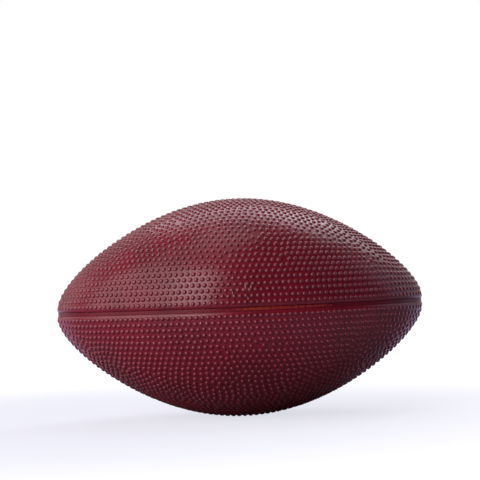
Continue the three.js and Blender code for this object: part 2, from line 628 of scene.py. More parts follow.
@dataclass(frozen=True)
class GlueFinish:
    """Set contact glue: glossy, with a colour that clouds from thin to thick."""

    name: str
    thin: Colour
    thick: Colour
    coat: float
    coat_roughness: float = 0.1
    roughness: float = 0.3
    clouds: tuple[float, ...] = (420.0, 3.0, 0.6)
    cloud_limits: tuple[float, float] = (0.4, 0.62)

    def material(self) -> bpy.types.Material:
        """Builds the material from one noise."""
        material, board = new_material(self.name)
        clouds = board.ramp(board.noise(board.place(), *self.clouds), *self.cloud_limits)
        colour = board.blend(clouds, rgba(self.thick), rgba(self.thin))
        polish = {"Coat Weight": self.coat, "Coat Roughness": self.coat_roughness}
        board.finish_with({"Base Color": colour, "Roughness": self.roughness, **polish})
        return material


# The skin's crests are painted lighter in patches: partly rubbed wear, partly a painted highlight.
SKIN_FINISH = MouldedFinish(
    "moulded_skin",
    colour=(0.22, 0.0075, 0.0225),
    shade=(0.172, 0.006, 0.017),
    rubbed=(0.34, 0.055, 0.075),
    rub=0.36,
    roughness=0.245,
    spread=0.05,
    grain=0.35,
    coat=0.9,
)
STRIP_FINISH = MouldedFinish(
    "glossy_strip",
    colour=(0.175, 0.005, 0.015),
    shade=(0.14, 0.004, 0.012),
    rubbed=(0.3, 0.03, 0.05),
    rub=0.0,
    roughness=0.3,
    spread=0.06,
    grain=0.2,
    ior=1.31,
)
GLUE_FILM = GlueFinish("glue_film", thin=(0.34, 0.026, 0.014), thick=(0.26, 0.012, 0.012), coat=0.0)
SET_GLUE = GlueFinish("set_glue", thin=(0.62, 0.12, 0.02), thick=(0.42, 0.04, 0.012), coat=0.15)


# The skin


@dataclass(frozen=True)
class Pebbles:
    """How the pebbles stand on a panel: rows along its seams that loosen towards its middle."""

    chart: GroundChart
    first_row: float = 3.02
    row_count: int = 29
    row_step: float = 2.68
    row_step_play: tuple[float, float] = (0.985, 1.02)
    pitch: float = 2.63
    pitch_growth: float = 0.02
    pitch_limit: float = 2.85
    pitch_play: tuple[float, float] = (0.985, 1.015)
    phase_play: tuple[float, float] = (0.2, 1.0)
    past_middle: float = 1.2
    tip_share: float = 0.995
    line_steps: int = 4001
    fewest_steps: int = 8
    disorder_at_seam: float = 0.06
    disorder: float = 0.2
    disorder_reach: float = 8.0
    spacing: float = 3.05
    neighbours: int = 7
    push: float = 0.3
    hold_reach: float = 10.0
    least_loose: float = 0.08
    steepest_edge: float = 0.7071
    rounds: int = 36
    quick_rounds: int = 4
    crowded_at_first: float = 1.95
    crowded_at_last: float = 2.25
    tip_slack: float = 0.25

    def row_points(self, distance: float, pitch: float, phase: float) -> np.ndarray:
        """Places one row of pebbles along a seam.

        The row keeps its distance to the seam's middle plane, measured over the ground, and
        stops a little past the panel's middle line.

        Args:
            distance: From the seam's middle plane to the row.
            pitch: From pebble to pebble along the row.
            phase: The first pebble's place, as a share of the pitch.

        Returns:
            Pairs of u and the angle from the seam.
        """
        arc = self.chart.arc
        u = np.linspace(arc[0] * self.tip_share, arc[-1] * self.tip_share, self.line_steps)
        radius = self.chart.radius(u)
        angle = np.arcsin(np.minimum(self.first_row / radius, 1.0)) + (distance - self.first_row) / radius
        inside = angle < EIGHTH_TURN + self.past_middle / radius
        if inside.sum() < self.fewest_steps:
            return np.empty((0, 2))
        u, angle = u[inside], angle[inside]
        steps = np.linalg.norm(np.diff(self.chart.lift(u, angle), axis=0), axis=1)
        length = np.concatenate([[0.0], np.cumsum(steps)])
        stops = np.arange(phase * pitch, length[-1], pitch)
        return np.stack([np.interp(stops, length, u), np.interp(stops, length, angle)], axis=1)

    def rows(self, rng: np.random.Generator) -> np.ndarray:
        """Places the rows of one half of a panel, from its seam to its middle line.

        Args:
            rng: Gives each row its own phase and a little of its own pitch.

        Returns:
            Pairs of u and the angle from the seam.
        """
        found = []
        distance = self.first_row
        for row in range(self.row_count):
            pitch = min(self.pitch + self.pitch_growth * row, self.pitch_limit)
            pitch *= rng.uniform(*self.pitch_play)
            found.append(self.row_points(distance, pitch, rng.uniform(*self.phase_play)))
            distance += self.row_step * rng.uniform(*self.row_step_play)
        return np.concatenate(found)

    def spread(self, points: np.ndarray, order: float) -> np.ndarray:
        """Evens out the pebbles away from the seams.

        Each pebble is pushed off its nearest neighbours that are closer than the spacing, and
        the pushes fade towards a seam, so the rows there stay nearly as they are.

        Args:
            points: Pairs of u and the angle from the first seam.
            order: How far from a seam the rows stay orderly.

        Returns:
            The pairs after the pushes.
        """
        points = points.copy()
        for _ in range(self.rounds):
            u, angle = points.T
            place = self.chart.lift(u, angle)
            apart = gaps_between(place)
            near = np.argpartition(apart, self.neighbours, axis=1)[:, : self.neighbours]
            gap = np.take_along_axis(apart, near, axis=1)
            away = (place[:, None] - place[near]) / gap[..., None]
            push = (np.clip(self.spacing - gap, 0, 1.0)[..., None] * away).sum(axis=1) * self.push
            radius = self.chart.radius(u)
            to_seam = radius * np.minimum(angle, QUARTER_TURN - angle)
            push *= np.clip((to_seam - order) / self.hold_reach, self.least_loose, 1.0)[:, None]
            ahead, across = self.chart.axes(u, angle)
            points[:, 0] += (push * ahead).sum(axis=1)
            points[:, 1] += (push * across).sum(axis=1) / radius
            slant = self.first_row / self.chart.radius(points[:, 0])
            edge = np.arcsin(np.minimum(slant, self.steepest_edge))
            points[:, 1] = np.clip(points[:, 1], edge, QUARTER_TURN - edge)
        return points

    def thin_out(self, points: np.ndarray, closest: float) -> np.ndarray:
        """Takes away the later one of any two pebbles that stand nearer than the closest allowed."""
        apart = gaps_between(self.chart.lift(points[:, 0], points[:, 1]))
        return points[~np.tril(apart < closest, -1).any(axis=1)]

    def layout(self, seed: int, order: float) -> np.ndarray:
        """Places all the pebbles of a panel.

        Args:
            seed: Fixes the rows' phases and the disorder.
            order: How far from a seam the rows stay orderly.

        Returns:
            Pairs of u and the angle from the panel's first seam.
        """
        rng = np.random.default_rng(seed)
        lower = self.rows(rng)
        upper = self.rows(rng)
        upper[:, 1] = QUARTER_TURN - upper[:, 1]
        points = np.concatenate([lower, upper])
        radius = self.chart.radius(points[:, 0])
        to_seam = radius * np.minimum(points[:, 1], QUARTER_TURN - points[:, 1])
        loose = np.clip((to_seam - order) / self.disorder_reach, 0, 1)
        swing = self.disorder_at_seam + self.disorder * loose
        points[:, 0] += rng.normal(0, 1, len(points)) * swing
        points[:, 1] += rng.normal(0, 1, len(points)) * swing / radius
        points = self.spread(self.thin_out(points, self.crowded_at_first), order)
        points = self.thin_out(points, self.crowded_at_last)
        to_seam = self.chart.radius(points[:, 0]) * np.minimum(np.sin(points[:, 1]), np.cos(points[:, 1]))
        return points[to_seam > self.first_row - self.tip_slack]


@dataclass(frozen=True)
class Dome:
    """A pebble's shape: rings whose radii are shares of its own, up to a point at the crest."""

    radius: float = 1.08
    radius_play: float = 0.03
    room: float = 0.06
    height: float = 0.7
    height_share: float = 0.97
    height_play: float = 0.05
    least_share: float = 0.8
    tip_zone: tuple[float, float] = (72, 88)
    tip_height: float = 0.6
    sides: int = 10
    rings: tuple[float, ...] = (0.92, 0.72, 0.4)
    flatness: float = 2.5
    steepness: float = 0.8

    def rise(self, share: np.ndarray) -> np.ndarray:
        """A pebble's height at a share of its radius: (1 - share^flatness)^steepness."""
        return (1 - share**self.flatness) ** self.steepness


@dataclass(frozen=True)
class Channel:
    """The hollow along a seam: both panels and the strip follow one smooth curve in section."""

    ground: float = 0.8
    floor: float = 1.32
    shoulder: float = 1.95
    flat: float = 0.72
    rounding: float = 0.25
    joint: float = 0.93
    wall_foot: float = 3.0
    edge_steps: int = 8

    def depth(self, offset: np.ndarray) -> np.ndarray:
        """Gives the hollow's depth at an offset to the seam's middle plane.

        It falls evenly from the ground's depth at the shoulder to the floor's at the flat, less a
        sine wave of the rounding's height that softens both ends.

        Args:
            offset: Distances to the seam's middle plane.

        Returns:
            The depths under the crests.
        """
        share = np.clip((np.abs(offset) - self.flat) / (self.shoulder - self.flat), 0, 1)
        rise = share - self.rounding * np.sin(FULL_TURN * share) / FULL_TURN
        return self.floor + (self.ground - self.floor) * rise

    def panel_edge(self) -> tuple[np.ndarray, np.ndarray]:
        """Gives a panel's edge from its shoulder down to its inner face: offsets and depths."""
        slope = np.linspace(self.shoulder, self.joint, self.edge_steps)
        return np.append(slope, self.joint), np.append(self.depth(slope), self.wall_foot)


@dataclass(frozen=True)
class PanelKind:
    """One of the four panels: its node, its first seam and how its pebbles were laid."""

    node: str
    first_seam: Seam
    seed: int
    order: float


PANELS = (
    PanelKind("upper_front_panel", Seam.FRONT, 11, 11.0),
    PanelKind("upper_rear_panel", Seam.TOP, 23, 9.0),
    PanelKind("lower_rear_panel", Seam.REAR, 37, 8.0),
    PanelKind("lower_front_panel", Seam.BOTTOM, 53, 7.0),
)


def keep_rings_crisp(panel: bpy.types.Object, ring_vertices: int, sides: int) -> None:
    """Keeps a crisp line where each pebble meets the ground.

    Args:
        panel: The panel.
        ring_vertices: How many of its first vertices are in base rings.
        sides: Points in a ring.
    """
    mesh = panel.data
    ends = np.empty(len(mesh.edges) * 2, dtype=np.int32)
    mesh.edges.foreach_get("vertices", ends)
    ends = ends.reshape(-1, 2)
    sharp = (ends < ring_vertices).all(axis=1) & (ends[:, 0] // sides == ends[:, 1] // sides)
    mesh.attributes.new("sharp_edge", "BOOLEAN", "EDGE").data.foreach_set("value", sharp)


@dataclass
class Skin:
    """The four pebbled panels."""

    form: BallForm
    finish: bpy.types.Material
    dome: Dome = Dome()
    channel: Channel = Channel()
    edge_steps: int = 420
    inner_steps: int = 24

    def __post_init__(self) -> None:
        """Maps the ground and works out the panels' edge."""
        self.chart = GroundChart(self.form, self.channel.ground)
        self.pebbles = Pebbles(self.chart)
        self.offsets, self.depths = self.channel.panel_edge()

    def edge_loop(self, offset: float, depth: float, start: float) -> np.ndarray:
        """Gives the line round a panel at one offset from its seams and one depth.

        The loop runs along the first seam to the right tip and back along the second. Its
        corners lie where both offsets are the same.

        Args:
            offset: Distance to both seams' middle planes.
            depth: How far under the crests.
            start: The first seam's angle.

        Returns:
            The loop's points.
        """
        x, out = self.form.rail(offset, depth, offset, self.edge_steps + 1)
        first = around(x, out, offset, start)
        second = around(x, out, -offset, start + QUARTER_TURN)
        return np.concatenate([first, second[-2:0:-1]])

    def flattened(self, points: np.ndarray, start: float) -> np.ndarray:
        """Flattens points of the ground: u, and the distance from the panel's middle line.

        Args:
            points: Points on the ground.
            start: The first seam's angle.

        Returns:
            Flat pairs.
        """
        angle = np.mod(np.arctan2(points[:, 2], -points[:, 1]) - start + math.pi, FULL_TURN) - math.pi
        radius = np.hypot(points[:, 1], points[:, 2])
        u = np.interp(points[:, 0], self.chart.x, self.chart.arc)
        return np.stack([u, radius * (angle - EIGHTH_TURN)], axis=1)

    def domes(self, layout: np.ndarray, seed: int, start: float) -> tuple[np.ndarray, np.ndarray, np.ndarray]:
        """Works out all the pebbles of a panel at once.

        A pebble is a stack of rings whose radii are shares of its own, each raised by the
        share's rise, and a point at the crest. Each pebble differs a little in width and height
        from the next, none reaches its neighbour, and all are lower at the ball's tips.

        Args:
            layout: Pairs of u and the angle from the first seam.
            seed: Fixes the differences between pebbles.
            start: The first seam's angle.

        Returns:
            The rings' points (pebble, ring, side), the crests, and the base rings' flat pairs.
        """
        dome, (middle_u, middle_angle) = self.dome, layout.T
        rng = np.random.default_rng(seed + 1)
        count = len(layout)
        nearest = gaps_between(self.chart.lift(middle_u, middle_angle)).min(axis=1)
        out = self.chart.radius(middle_u)
        to_edge = out * np.minimum(np.sin(middle_angle), np.cos(middle_angle)) - self.channel.shoulder
        room = np.minimum(nearest / 2, to_edge) - dome.room
        radius = np.minimum(dome.radius * rng.normal(1.0, dome.radius_play, count), room)
        height = rng.normal(dome.height_share, dome.height_play, count)
        height = dome.height * np.clip(height, dome.least_share, 1.0)
        height *= np.clip(radius / dome.radius, dome.least_share, 1.0)
        height *= np.interp(np.abs(middle_u), dome.tip_zone, (1.0, dome.tip_height))

        shares = np.array((1.0, *dome.rings))
        spin = rng.uniform(0, FULL_TURN, count)
        sweep = spin[:, None, None] + np.arange(dome.sides) * FULL_TURN / dome.sides
        reach = radius[:, None, None] * shares[None, :, None]
        u = middle_u[:, None, None] + reach * np.cos(sweep)
        turn = middle_angle[:, None, None] + reach * np.sin(sweep) / out[:, None, None]
        lift = height[:, None, None] * dome.rise(shares)[None, :, None]
        rings = self.chart.lift(u, turn + start, np.broadcast_to(lift, u.shape))
        crests = self.chart.lift(middle_u, middle_angle + start, height)
        base = np.stack([u[:, 0], self.chart.radius(u[:, 0]) * (turn[:, 0] - EIGHTH_TURN)], axis=-1)
        return rings, crests, base.reshape(-1, 2)

    def ground_faces(self, base: np.ndarray, loop: np.ndarray) -> np.ndarray:
        """Fills the ground between the pebbles and the panel's edge with triangles.

        Args:
            base: Flat pairs of the base rings, ring after ring.
            loop: Flat pairs of the panel's edge.

        Returns:
            The triangles, numbered over the base rings and then the edge.
        """
        sides = self.dome.sides
        flat = np.concatenate([base, loop])
        rings = np.arange(len(base)).reshape(-1, sides)
        border = np.arange(len(base), len(flat)).reshape(1, -1)
        edges = [np.stack([line, np.roll(line, -1, axis=1)], axis=-1) for line in (rings, border)]
        edges = [pairs.reshape(-1, 2) for pairs in edges]
        found = delaunay_2d_cdt(flat.tolist(), np.concatenate(edges).tolist(), [], 1, 1e-7, True)
        if len(found[0]) != len(flat):
            raise ValueError(f"the ground gained {len(found[0]) - len(flat)} points: two pebbles cross")
        triangles = np.array(found[2])
        owner = np.where(triangles < len(base), triangles // sides, -1 - triangles)
        inside = (owner[:, 0] == owner[:, 1]) & (owner[:, 1] == owner[:, 2])
        return triangles[~inside]

    def inner_face(self, start: float, rim: np.ndarray, first: int) -> tuple[np.ndarray, np.ndarray]:
        """Closes a panel on its inside with a grid between its two inner edges.

        Args:
            start: The first seam's angle.
            rim: Vertex numbers of the innermost edge loop, with its first one repeated.
            first: The next free vertex number.

        Returns:
            The grid's own points and the grid of vertex numbers.
        """
        steps, across = self.edge_steps, self.inner_steps
        offset, depth = self.offsets[-1], self.depths[-1]
        x, out = self.form.rail(offset, depth, offset, steps + 1)
        radius = np.hypot(out, offset)
        share = np.linspace(0, 1, across + 1)[1:-1]
        low = np.arcsin(np.clip(offset / radius, 0, 1))
        angle = low[1:-1, None] + (QUARTER_TURN - 2 * low[1:-1, None]) * share
        points = around(x[1:-1, None], radius[1:-1, None], 0.0, angle + start)
        index = np.empty((steps + 1, across + 1), dtype=int)
        index[:, 0] = rim[: steps + 1]
        index[:, -1] = rim[: steps - 1 : -1]
        index[0], index[-1] = rim[0], rim[steps]
        index[1:-1, 1:-1] = first + np.arange((steps - 1) * (across - 1)).reshape(steps - 1, across - 1)
        return points.reshape(-1, 3), index

    def build(self, kind: PanelKind) -> bpy.types.Object:
        """Builds one panel as a closed shell: pebbled ground, rounded edge, wall, inner face.

        Args:
            kind: Which panel.

        Returns:
            The panel.
        """
        start = kind.first_seam.angle
        layout = self.pebbles.layout(kind.seed, kind.order)
        rings, crests, base = self.domes(layout, kind.seed, start)
        count, levels, sides = rings.shape[:3]
        loops = [self.edge_loop(o, d, start) for o, d in zip(self.offsets, self.depths)]
        ground = self.ground_faces(base, self.flattened(loops[0], start))

        loop_start = count * sides
        ring_start = loop_start + len(loops[0]) * len(loops)
        crest_start = ring_start + count * (levels - 1) * sides
        inner_start = crest_start + count

        first = np.arange(loop_start).reshape(count, 1, sides)
        others = np.arange(ring_start, crest_start).reshape(count, levels - 1, sides)
        stack = np.concatenate([first, others], axis=1)
        ahead = np.roll(stack, -1, axis=2)
        walls = np.stack([stack[:, :-1], ahead[:, :-1], ahead[:, 1:], stack[:, 1:]], axis=-1).reshape(-1, 4)
        top = np.broadcast_to(np.arange(crest_start, inner_start)[:, None], (count, sides))
        caps = np.stack([stack[:, -1], ahead[:, -1], top], axis=-1).reshape(-1, 3)

        edge_index = wrapped(np.arange(loop_start, ring_start).reshape(len(loops), -1))
        inner, inner_index = self.inner_face(start, edge_index[-1], inner_start)
        faces = [ground, walls, caps, *quads_of(edge_index, flip=True), *quads_of(inner_index)]
        lowest, raised = rings[:, 0].reshape(-1, 3), rings[:, 1:].reshape(-1, 3)
        points = np.concatenate([lowest, *loops, raised, crests, inner])
        panel = make_piece(kind.node.replace("_panel", "_skin"), points, faces)

        proud = np.zeros(len(points))
        rises = self.dome.rise(np.array(self.dome.rings))
        proud[ring_start:crest_start] = np.tile(np.repeat(rises, sides), count)
        proud[crest_start:inner_start] = 1.0
        paint_crests(panel, proud)
        keep_rings_crisp(panel, loop_start, sides)
        return panel

    def make(self) -> None:
        """Builds and declares all four panels."""
        for kind in PANELS:
            declare(self.build(kind), self.finish, Slot.SKIN, kind.node)


TUBE_SIDES = 8
TUBE_TURNS = np.linspace(0, FULL_TURN, TUBE_SIDES, endpoint=False)


@dataclass(frozen=True)
class Ridge:
    """A thin raised mark above the front seam: where it starts, leans, and ends over the ground."""

    x: float
    lean: float
    low: float
    high: float


RIDGES = (
    Ridge(-2.2, -1.1, 5.0, 9.7),
    Ridge(4.4, -1.0, 2.6, 6.9),
    Ridge(3.1, -0.3, 7.4, 11.7),
    Ridge(5.1, 0.5, 7.1, 11.6),
    Ridge(11.1, -0.1, 5.0, 7.0),
)


@dataclass
class MouldMarks:
    """The marks that the moulding left between the pebbles above the front seam."""

    chart: GroundChart
    finish: bpy.types.Material
    half_width: float = 0.5
    height: float = 0.5
    steps: int = 16
    blunt: float = 0.01
    bend: float = 0.16
    bend_lengths: tuple[float, ...] = (3.7, 2.1)
    first_seed: int = 40

    def ridge(self, shape: Ridge, seed: int) -> MeshParts:
        """Works out one ridge: a flattened tube, half sunk in the skin, that bends a little.

        Args:
            shape: The ridge's place.
            seed: Fixes its bends.

        Returns:
            Its points and faces.
        """
        share = np.linspace(0, 1, self.steps)[:, None]
        swell = swelling(share, self.blunt)
        over = shape.low + (shape.high - shape.low) * share
        middle = shape.x + shape.lean * share + ripple(over, self.bend, self.bend_lengths, seed)
        u = middle + self.half_width * swell * np.cos(TUBE_TURNS)
        rise = self.height * swell * np.sin(TUBE_TURNS)
        points = self.chart.lift(u, over / self.chart.radius(u), rise).reshape(-1, 3)
        return points, tube_faces(self.steps, TUBE_SIDES, flip=True)

    def make(self) -> None:
        """Builds and declares all the ridges as one piece."""
        parts = [self.ridge(shape, self.first_seed + number) for number, shape in enumerate(RIDGES)]
        marks = make_piece("mould_marks", *join_parts(parts))
        # The marks count fully as crest: polish, and patches painted lighter as rubbed wear and painted
        # highlight.
        paint_crests(marks, np.ones(len(marks.data.vertices)))
        declare(marks, self.finish, Slot.SKIN)


# The strips


@dataclass(frozen=True)
class StripSection:
    """Half of a strip in section: its face in the channel, its web, and its foot under the panels.

    The face and the web lie a little low beside the seam's middle plane, and the foot doesn't.
    """

    channel: Channel = Channel()
    clearance: float = 0.14
    lies_low: float = 0.06
    face_start: float = 0.1
    face_steps: int = 6
    face_edge: float = 1.5
    web_middle: float = 2.2
    web_foot: float = 3.0
    foot_top: float = 3.3
    foot_half: float = 5.0
    foot_bottom: float = 4.5

    @property
    def edge(self) -> float:
        """Half the width of the face and of the web."""
        return self.channel.joint - self.clearance

    def face(self) -> list[tuple[float, float]]:
        """The face from near its middle line to its edge: offsets and depths."""
        offsets = np.linspace(self.face_start, self.edge, self.face_steps)
        return [(float(o), float(self.channel.depth(o))) for o in offsets] + [(self.edge, self.face_edge)]

    def half(self) -> list[tuple[float, float]]:
        """The half section from the face's middle line to the foot's lower corner."""
        web = [(self.edge, depth) for depth in (self.web_middle, self.web_foot, self.foot_top)]
        foot = [(self.foot_half, depth) for depth in (self.foot_top, self.foot_bottom)]
        return [*self.face(), *web, *foot]


@dataclass
class Strips:
    """The four strips that lie sunk between the panels."""

    form: BallForm
    finish: bpy.types.Material
    section: StripSection = StripSection()
    steps: int = 260
    meeting: float = 0.15
    beside_web: float = 1.05
    beside_foot: float = 5.3
    face_slack: float = 0.001
    sway: float = 0.03
    sway_lengths: tuple[float, ...] = (31.0, 17.0, 9.0, 5.3)
    sway_reach: float = 80.0
    first_seed: int = 70

    def end_for(self, seam: Seam, depth: float) -> float:
        """Where a strip stops at the tips: at the middle plane, or beside the other strips."""
        if seam in (Seam.FRONT, Seam.REAR):
            return self.meeting
        return self.beside_web if depth <= self.section.web_foot else self.beside_foot

    def end_faces(self, rim: np.ndarray) -> list[np.ndarray]:
        """Closes one end of a strip: a face behind its top, and a ladder of quads down to its foot.

        Args:
            rim: The section's vertex numbers at that end.

        Returns:
            An array for each face.
        """
        top = 2 * len(self.section.face())
        low = (len(rim) - top) // 2
        faces = [np.append(rim[low : low + top + 1], rim[low - 1])]
        faces += [rim[[k, -1 - k, -k, k - 1]] for k in range(low - 1, 0, -1)]
        return [face[None] for face in faces]

    def build(self, seam: Seam, name: str) -> bpy.types.Object:
        """Builds one strip by carrying its section along the seam, with a face that sways a little.

        Args:
            seam: Which seam.
            name: The piece's name.

        Returns:
            The strip.
        """
        half = self.section.half()
        ring = [*((-offset, depth) for offset, depth in half[::-1]), *half]
        lines = []
        for offset, depth in ring:
            x, out = self.form.rail(abs(offset), depth, self.end_for(seam, depth), self.steps + 1)
            if depth <= self.section.channel.floor + self.face_slack:
                sway = ripple(x, self.sway, self.sway_lengths, self.first_seed + seam.value)
                out = out + sway * np.clip(1 - np.abs(x) / self.sway_reach, 0, 1)
            low = self.section.lies_low if depth < self.section.foot_top else 0.0
            lines.append(around(x, out, offset - low, seam.angle))
        index = np.arange(len(ring) * len(lines[0])).reshape(len(ring), -1)
        ends = [*self.end_faces(index[:, 0]), *(face[:, ::-1] for face in self.end_faces(index[:, -1]))]
        faces = [*quads_of(np.concatenate([index, index[:1]])), *ends]
        return make_piece(name, np.concatenate(lines), faces)

    def make(self) -> None:
        """Builds and declares all four strips."""
        for seam in Seam:
            side = seam.name.lower()
            declare(self.build(seam, f"{side}_seam_band"), self.finish, Slot.STRIP, f"{side}_seam_strip")


@dataclass(frozen=True)
class Bead:
    """A smear of glue on the front strip: its ends along the ball, and its place and size across."""

    low: float
    high: float
    height: float
    width: float
    thickness: float
    wave: float


FILM = Bead(-9.0, 46.0, 0.0, 0.74, 0.09, 0.1)
RUNS = (
    Bead(-6.4, -3.6, -0.3, 0.09, 0.1, 0.3),
    Bead(-2.4, 2.6, -0.15, 0.1, 0.11, 0.6),
    Bead(3.6, 15.4, 0.0, 0.11, 0.13, 0.8),
    Bead(7.0, 12.0, -0.25, 0.09, 0.11, 0.6),
    Bead(19.8, 25.4, 0.3, 0.09, 0.11, 0.6),
    Bead(30.6, 34.4, 0.0, 0.09, 0.1, 0.4),
    Bead(34.8, 40.2, 0.2, 0.08, 0.1, 0.4),
)


@dataclass
class GlueLine:
    """The glue that set on the front strip: a thin film, and broken runs of flecks on it."""

    form: BallForm
    film: bpy.types.Material
    fleck: bpy.types.Material
    face_depth: float = 1.31
    sunk: float = 0.06
    blunt: float = 0.004
    least_steps: int = 12
    steps_per_mm: int = 2
    swell: float = 0.55
    swell_lengths: tuple[float, ...] = (3.1, 1.7, 1.1)
    wave_lengths: tuple[float, ...] = (9.0, 4.0, 2.3)
    first_seed: int = 90
    seed_step: int = 3
    break_seed: int = 7
    shortest_rest: float = 0.5
    fleck_length: tuple[float, float] = (0.7, 2.8)
    fleck_gap: tuple[float, float] = (-0.4, 0.7)
    fleck_width: tuple[float, float] = (0.6, 1.3)
    fleck_stray: float = 0.16

    def bead(self, shape: Bead, seed: int) -> MeshParts:
        """Works out one bead: a flattened tube that swells and thins, closed at both ends.

        Its radius is the width times the root of sin(pi share), times a waviness.

        Args:
            shape: The bead's ends and size.
            seed: Fixes its waviness.

        Returns:
            Its points and faces.
        """
        steps = self.least_steps + int(self.steps_per_mm * (shape.high - shape.low))
        x = np.linspace(shape.low, shape.high, steps)
        swell = swelling(np.linspace(0, 1, steps), self.blunt)
        swell *= 1 + ripple(x, self.swell, self.swell_lengths, seed)
        middle = shape.height + ripple(x, shape.wave, self.wave_lengths, seed + 1)
        turns = np.linspace(math.pi, 0, self.form.fine_steps)
        turn = np.interp(x, self.form.outline(turns, self.face_depth)[0], turns)
        side = middle[:, None] + shape.width * swell[:, None] * np.cos(TUBE_TURNS)
        rise = shape.thickness * swell[:, None] * np.sin(TUBE_TURNS) - self.sunk
        along, radius = self.form.outline(turn[:, None], self.face_depth - rise)
        points = around(along, np.sqrt(radius**2 - side**2), side, Seam.FRONT.angle).reshape(-1, 3)
        return points, tube_faces(steps, TUBE_SIDES)

    def broken(self, run: Bead, rng: np.random.Generator) -> list[Bead]:
        """Breaks a run of glue into flecks of uneven length, which overlap here and gape there.

        Args:
            run: The whole run.
            rng: Gives each fleck its length, place and width.

        Returns:
            The flecks.
        """
        flecks, low = [], run.low
        while low < run.high - self.shortest_rest:
            high = min(low + rng.uniform(*self.fleck_length), run.high)
            height = run.height + rng.normal(0, self.fleck_stray)
            width = run.width * rng.uniform(*self.fleck_width)
            flecks.append(Bead(low, high, height, width, run.thickness, run.wave))
            low = high + rng.uniform(*self.fleck_gap)
        return flecks

    def smear(self, name: str, beads: list[Bead], finish: bpy.types.Material) -> None:
        """Builds and declares several beads as one piece."""
        seeds = (self.first_seed + self.seed_step * number for number in range(len(beads)))
        parts = [self.bead(shape, seed) for shape, seed in zip(beads, seeds)]
        declare(make_piece(name, *join_parts(parts)), finish, Slot.STRIP)

    def make(self) -> None:
        self.smear("front_glue_film", [FILM], self.film)
        rng = np.random.default_rng(self.break_seed)
        flecks = [fleck for run in RUNS for fleck in self.broken(run, rng)]
        self.smear("front_glue_flecks", flecks, self.fleck)


# The core


@dataclass
class FoamCore:
    """The foam body under the skin, with a groove for each strip's foot."""

    form: BallForm
    finish: bpy.types.Material
    depth: float = 3.3
    groove_depth: float = 4.8
    groove_half: float = 5.3
    groove_slope: float = 0.24
    groove_shares: tuple[float, ...] = (0.0, 0.5, 0.97, 1.03)
    widest_groove: float = 0.6
    rows: int = 160
    columns: int = 14

    def build(self) -> bpy.types.Object:
        """Builds the core as a closed grid round X.

        A point's depth is the core's, and drops to the groove's where it is nearer to a seam's
        middle plane than half a groove. Columns gather at the grooves' edges.

        Returns:
            The core.
        """
        turn = np.linspace(math.pi, 0, self.rows + 1)[1:-1]
        radius = self.form.outline(turn, self.depth)[1]
        edge = np.arcsin(np.clip(self.groove_half / radius, 0, self.widest_groove))
        near = edge[:, None] * np.array(self.groove_shares)
        last = near[:, -1:]
        middle = last + (QUARTER_TURN - 2 * last) * np.linspace(0, 1, self.columns)[1:-1]
        quarter = np.concatenate([near, middle, QUARTER_TURN - near[:, :0:-1]], axis=1)
        angle = np.concatenate([quarter + seam.angle for seam in Seam], axis=1)
        nearest = radius[:, None] * np.minimum(np.abs(np.sin(angle)), np.abs(np.cos(angle)))
        share = np.clip((self.groove_half + self.groove_slope / 2 - nearest) / self.groove_slope, 0, 1)
        x, out = self.form.outline(turn[:, None], self.depth + (self.groove_depth - self.depth) * share)
        left, right = self.form.outline(np.array([math.pi, 0.0]), self.groove_depth)[0]
        points = np.concatenate([around(x, out, 0.0, angle).reshape(-1, 3), [[left, 0, 0], [right, 0, 0]]])
        index = wrapped(np.arange(angle.size).reshape(angle.shape))
        poles = [np.full((1, index.shape[1]), angle.size + number) for number in (0, 1)]
        faces = quads_of(np.concatenate([poles[0], index, poles[1]]), flip=True)
        return make_piece("cell_foam_core", points, faces)

    def make(self) -> None:
        core = self.build()
        declare(core, self.finish, Slot.CORE, "foam_core")


# The studio


@dataclass(frozen=True)
class Lamp:
    """A softbox: where it stands as seen from the ball, its size and its strength."""

    name: str
    azimuth: float
    elevation: float
    width: float
    height: float
    radiance: float
    colour: Colour = WHITE
    distance: float = 0.9

    def make(self) -> None:
        """Hangs the softbox, turned to the ball: its power is radiance times pi times its area."""
        lamp = bpy.data.lights.new(self.name, "AREA")
        lamp.shape = "RECTANGLE"
        lamp.size, lamp.size_y = self.width, self.height
        lamp.energy = self.radiance * math.pi * self.width * self.height
        lamp.color = self.colour
        holder = put_in_scene(self.name, lamp)
        round_z, up = math.radians(self.azimuth), math.radians(self.elevation)
        towards = Vector((math.sin(round_z) * math.cos(up), -math.cos(round_z) * math.cos(up), math.sin(up)))
        holder.location = towards * self.distance
        holder.rotation_euler = (-towards).to_track_quat("-Z", "Y").to_euler()


LAMPS = (
    Lamp("left_softbox", -50.0, 20.0, 1.21, 0.8, 2.1),
    Lamp("left_softbox_core", -29.0, 22.0, 0.36, 0.5, 1.9),
    Lamp("upper_left_softbox", -46.0, 52.0, 0.72, 0.46, 0.72),
    Lamp("left_rim_softbox", -106.0, 12.0, 0.44, 0.7, 0.8),
    Lamp("right_softbox", 95.0, 8.0, 0.42, 1.1, 0.68, (0.5, 0.68, 1.0)),
    Lamp("rear_right_softbox", 138.0, 48.0, 0.5, 0.5, 2.0, (0.88, 0.92, 1.0)),
    Lamp("top_softbox", -30.0, 78.0, 0.42, 0.42, 1.4),
    Lamp("rear_softbox", 180.0, 60.0, 0.8, 0.6, 2.0, (0.93, 0.93, 1.0)),
)


